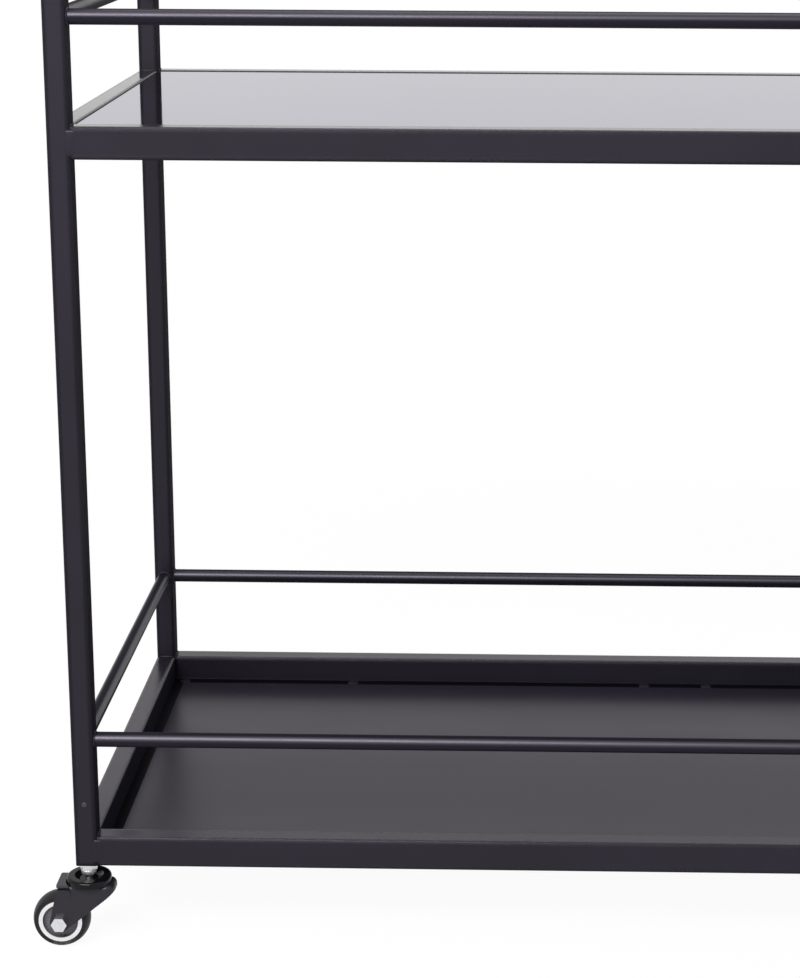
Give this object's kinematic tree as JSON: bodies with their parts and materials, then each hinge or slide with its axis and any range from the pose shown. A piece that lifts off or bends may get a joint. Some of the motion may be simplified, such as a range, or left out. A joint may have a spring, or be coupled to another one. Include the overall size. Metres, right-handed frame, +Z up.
{
  "type": "serving cart",
  "caption": "Serving cart: a square-tube frame with push handles, a mirror shelf and a sheet tray inside round guard rails, on swivel casters, the front pair with brakes.",
  "frame": {"origin": "on the floor under the middle of the cart", "axes": "+Z up, X along the cart's length, the front faces -Y"},
  "size_m": [0.923, 0.47, 0.889],
  "materials": {
    "frame": "black satin powder coat",
    "mirror": "silvered glass",
    "tray_sheet": "black satin powder coat on flat sheet",
    "plug": "moulded black nylon",
    "washer": "moulded natural nylon",
    "zinc": "bright zinc plate",
    "caster_steel": "gloss black paint",
    "wheel_plastic": "moulded dark grey plastic",
    "ring": "bright satin",
    "tyre": "smooth black polyurethane"
  },
  "bodies": {
    "cart_frame": {"post_front_left": "frame", "post_front_right": "frame", "post_rear_left": "frame", "post_rear_right": "frame", "handle_left": "frame", "handle_right": "frame", "shelf_rim_front": "frame", "shelf_rim_rear": "frame", "shelf_rim_left": "frame", "shelf_rim_right": "frame", "shelf_rail_front": "frame", "shelf_rail_rear": "frame", "shelf_rail_left": "frame", "shelf_rail_right": "frame", "tray_rim_front": "frame", "tray_rim_rear": "frame", "tray_rim_left": "frame", "tray_rim_right": "frame", "tray_rail_front": "frame", "tray_rail_rear": "frame", "tray_rail_left": "frame", "tray_rail_right": "frame", "mirror_panel": "mirror", "mirror_ledges": "frame", "tray_floor": "tray_sheet", "tray_ledges": "frame", "leg_inserts": "plug", "thrust_washers": "washer", "stem_front_left": "zinc", "stem_front_right": "zinc", "stem_rear_left": "zinc", "stem_rear_right": "zinc", "swivel_cap_front_left": "caster_steel", "swivel_cap_front_right": "caster_steel", "swivel_cap_rear_left": "caster_steel", "swivel_cap_rear_right": "caster_steel"},
    "caster_front_left": {"fork_front_left": "caster_steel", "axle_front_left": "zinc", "brake_pin_front_left": "caster_steel"},
    "wheel_front_left": {"wheel_core_front_left": "wheel_plastic", "wheel_rings_front_left": "ring", "tyre_front_left": "tyre"},
    "caster_front_right": {"fork_front_right": "caster_steel", "axle_front_right": "zinc", "brake_pin_front_right": "caster_steel"},
    "wheel_front_right": {"wheel_core_front_right": "wheel_plastic", "wheel_rings_front_right": "ring", "tyre_front_right": "tyre"},
    "caster_rear_left": {"fork_rear_left": "caster_steel", "axle_rear_left": "zinc"},
    "wheel_rear_left": {"wheel_core_rear_left": "wheel_plastic", "wheel_rings_rear_left": "ring", "tyre_rear_left": "tyre"},
    "caster_rear_right": {"fork_rear_right": "caster_steel", "axle_rear_right": "zinc"},
    "wheel_rear_right": {"wheel_core_rear_right": "wheel_plastic", "wheel_rings_rear_right": "ring", "tyre_rear_right": "tyre"},
    "brake_front_left": {"brake_lever_front_left": "caster_steel"},
    "brake_front_right": {"brake_lever_front_right": "caster_steel"}
  },
  "joints": [
    {"name": "swivel_front_left", "type": "hinge", "parent": "cart_frame", "child": "caster_front_left", "pos_m": [-0.4115, -0.2155, 0.06], "axis": [0, 0, 1], "continuous": true},
    {"name": "wheel_spin_front_left", "type": "hinge", "parent": "caster_front_left", "child": "wheel_front_left", "pos_m": [-0.4365, -0.2155, 0.025], "axis": [0, 1, 0], "continuous": true},
    {"name": "swivel_front_right", "type": "hinge", "parent": "cart_frame", "child": "caster_front_right", "pos_m": [0.4115, -0.2155, 0.06], "axis": [0, 0, 1], "continuous": true},
    {"name": "wheel_spin_front_right", "type": "hinge", "parent": "caster_front_right", "child": "wheel_front_right", "pos_m": [0.4365, -0.2155, 0.025], "axis": [0, 1, 0], "continuous": true},
    {"name": "swivel_rear_left", "type": "hinge", "parent": "cart_frame", "child": "caster_rear_left", "pos_m": [-0.4115, 0.2155, 0.06], "axis": [0, 0, 1], "continuous": true},
    {"name": "wheel_spin_rear_left", "type": "hinge", "parent": "caster_rear_left", "child": "wheel_rear_left", "pos_m": [-0.3865, 0.2155, 0.025], "axis": [0, 1, 0], "continuous": true},
    {"name": "swivel_rear_right", "type": "hinge", "parent": "cart_frame", "child": "caster_rear_right", "pos_m": [0.4115, 0.2155, 0.06], "axis": [0, 0, 1], "continuous": true},
    {"name": "wheel_spin_rear_right", "type": "hinge", "parent": "caster_rear_right", "child": "wheel_rear_right", "pos_m": [0.3865, 0.2155, 0.025], "axis": [0, 1, 0], "continuous": true},
    {"name": "brake_front_left", "type": "hinge", "parent": "caster_front_left", "child": "brake_front_left", "pos_m": [-0.4285, -0.2155, 0.0536], "axis": [0, -1, 0], "range_deg": [0, 9]},
    {"name": "brake_front_right", "type": "hinge", "parent": "caster_front_right", "child": "brake_front_right", "pos_m": [0.4285, -0.2155, 0.0536], "axis": [0, 1, 0], "range_deg": [0, 9]}
  ]
}
